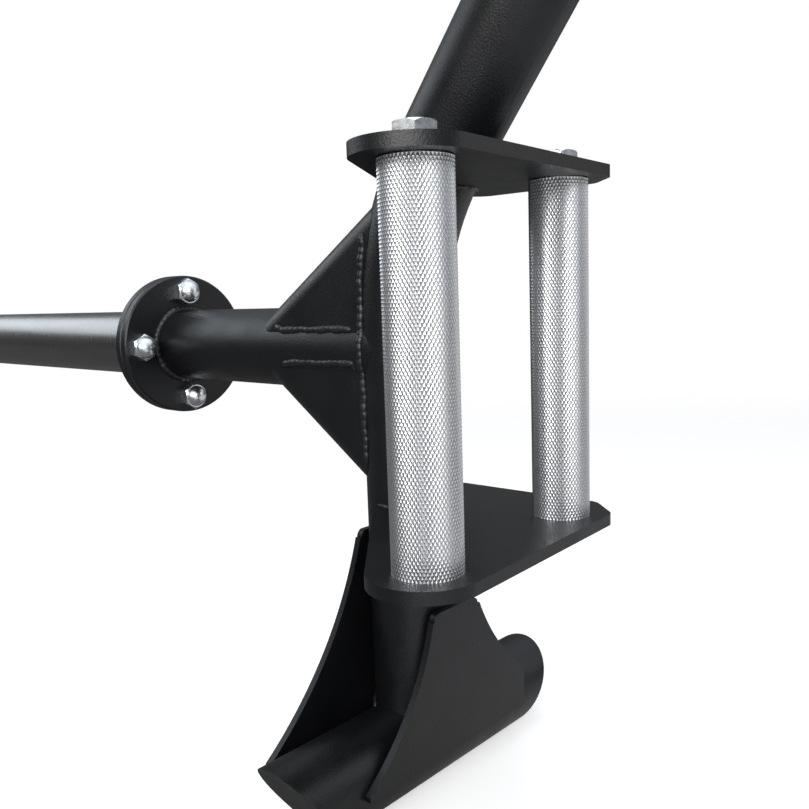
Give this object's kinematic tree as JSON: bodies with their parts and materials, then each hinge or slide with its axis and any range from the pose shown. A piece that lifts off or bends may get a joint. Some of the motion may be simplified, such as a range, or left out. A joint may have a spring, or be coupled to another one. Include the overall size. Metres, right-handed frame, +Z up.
{
  "type": "open-ended trap bar",
  "caption": "Open-ended deadlift bar: an arched tube frame on raised feet, with knurled grips at two heights on each side and bolted plate sleeves.",
  "frame": {"origin": "on the floor under the middle of the bar, in the plane of the arched frame, with the bar standing on its feet", "axes": "X along the sleeves, Y from the high grips towards the low grips, square to the frame, Z up"},
  "size_m": [2.14, 0.2321, 0.6839],
  "materials": {
    "powder_coat": "satin black powder coat",
    "sleeve_steel": "turned and plated, fine rings",
    "knurled_chrome": "knurled and bright plated",
    "zinc": "bright zinc plated"
  },
  "bodies": {
    "root": {"top_rail": "powder_coat", "left_side_rail": "powder_coat", "right_side_rail": "powder_coat", "left_stub_tube": "powder_coat", "right_stub_tube": "powder_coat", "left_frame_flange": "powder_coat", "right_frame_flange": "powder_coat", "left_sleeve_flange": "powder_coat", "right_sleeve_flange": "powder_coat", "left_sleeve": "sleeve_steel", "right_sleeve": "sleeve_steel", "left_sleeve_cap": "sleeve_steel", "right_sleeve_cap": "sleeve_steel", "left_flange_screws": "zinc", "right_flange_screws": "zinc", "left_flange_nuts": "zinc", "right_flange_nuts": "zinc", "left_upper_gusset": "powder_coat", "right_upper_gusset": "powder_coat", "left_lower_gusset": "powder_coat", "right_lower_gusset": "powder_coat", "left_upper_grip_plate": "powder_coat", "right_upper_grip_plate": "powder_coat", "left_lower_grip_plate": "powder_coat", "right_lower_grip_plate": "powder_coat", "left_high_grip": "knurled_chrome", "right_high_grip": "knurled_chrome", "left_low_grip": "knurled_chrome", "right_low_grip": "knurled_chrome", "left_grip_bolts": "zinc", "right_grip_bolts": "zinc", "left_lower_grip_screws": "zinc", "right_lower_grip_screws": "zinc", "left_outer_foot_plate": "powder_coat", "right_outer_foot_plate": "powder_coat", "left_inner_foot_plate": "powder_coat", "right_inner_foot_plate": "powder_coat", "left_foot_tube": "powder_coat", "right_foot_tube": "powder_coat", "left_foot_caps": "powder_coat", "right_foot_caps": "powder_coat"}
  },
  "joints": []
}
